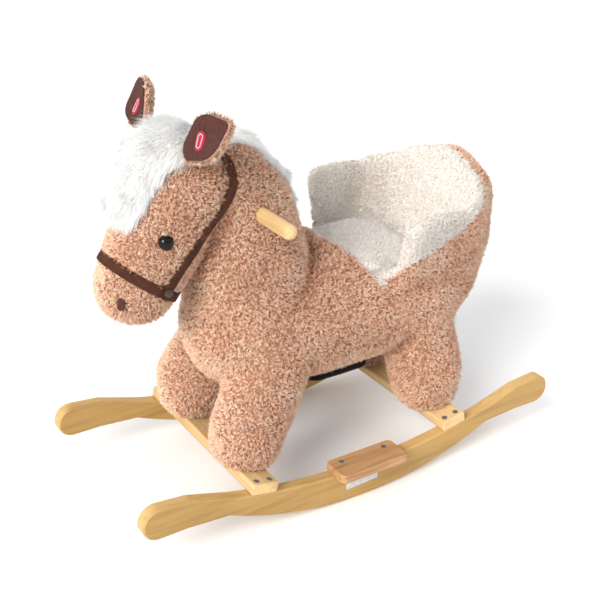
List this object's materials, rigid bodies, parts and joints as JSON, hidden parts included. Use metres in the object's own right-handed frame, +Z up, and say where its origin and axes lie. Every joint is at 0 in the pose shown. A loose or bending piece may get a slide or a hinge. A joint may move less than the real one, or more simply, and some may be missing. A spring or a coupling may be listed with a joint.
{
  "type": "plush rocking horse",
  "caption": "Plush rocking horse with a padded bucket seat, a handle through the neck and footrests, on two curved wooden rockers.",
  "frame": {"origin": "floor level under the middle of the two rockers, in the middle plane of the horse", "axes": "+Z up, the horse faces -Y, its left side is +X, the rockers run along Y"},
  "size_m": [0.312, 0.64, 0.5236],
  "materials": {
    "birch": "satin",
    "beech": "satin",
    "plywood": "matte",
    "pine": "matte",
    "steel": "satin",
    "silicone": "matte",
    "zinc_plate": "satin",
    "paper_label": "matte",
    "tan_plush": "matte",
    "cream_plush": "matte",
    "white_fur": "matte",
    "dark_cloth": "matte",
    "brown_suede": "matte",
    "brown_ribbon": "matte",
    "stud_plastic": "gloss",
    "red_embroidery": "matte",
    "black_eye": "gloss",
    "white_plastic": "matte",
    "red_plastic": "matte",
    "lead_sleeve": "matte",
    "board_green": "satin",
    "speaker_black": "matte",
    "battery_skin": "satin"
  },
  "bodies": {
    "horse": {"rocker_left": "birch", "rocker_right": "birch", "rocker_label": "paper_label", "crossbar_front": "birch", "crossbar_rear": "birch", "rocker_screws": "steel", "footrest_left": "beech", "footrest_right": "beech", "leg_post_front_left": "pine", "leg_post_front_right": "pine", "leg_post_rear_left": "pine", "leg_post_rear_right": "pine", "seat_board": "plywood", "frame_screws": "steel", "neck_board": "plywood", "neck_brackets": "zinc_plate", "bracket_screws": "steel", "back_board": "plywood", "back_cleat": "pine", "handle_bar": "birch", "handle_screw": "steel", "body_plush": "tan_plush", "belly_lining": "dark_cloth", "leg_plush_front_left": "tan_plush", "leg_plush_front_right": "tan_plush", "leg_plush_rear_left": "tan_plush", "leg_plush_rear_right": "tan_plush", "neck_plush": "tan_plush", "head_plush": "tan_plush", "backrest_plush": "tan_plush", "backrest_lining": "cream_plush", "seat_cushion": "cream_plush", "forelock": "white_fur", "mane": "white_fur", "tail": "white_fur", "ear_left": "tan_plush", "ear_right": "tan_plush", "ear_lining_left": "brown_suede", "ear_lining_right": "brown_suede", "ear_patches": "red_embroidery", "eye_left": "black_eye", "eye_right": "black_eye", "eye_washers": "white_plastic", "nostrils": "brown_suede", "noseband": "brown_ribbon", "headstall": "brown_ribbon", "bridle_studs": "stud_plastic", "switch_housing_left": "white_plastic", "switch_housing_right": "white_plastic", "switch_dome_left": "silicone", "switch_dome_right": "silicone", "switch_leads": "lead_sleeve", "sound_case": "white_plastic", "sound_lid": "white_plastic", "circuit_board": "board_green", "speaker": "speaker_black", "batteries": "battery_skin"},
    "button_left": {"switch_button_left": "red_plastic"},
    "button_right": {"switch_button_right": "red_plastic"}
  },
  "joints": [
    {"name": "ear_button_left", "type": "slide", "parent": "horse", "child": "button_left", "axis": [-0.1598, 0.9065, -0.3907], "range_m": [0, 0.0015], "stiffness_N_per_m": 400, "deforming": ["switch_dome_left"]},
    {"name": "ear_button_right", "type": "slide", "parent": "horse", "child": "button_right", "axis": [0.1598, 0.9065, -0.3907], "range_m": [0, 0.0015], "stiffness_N_per_m": 400, "deforming": ["switch_dome_right"]}
  ]
}
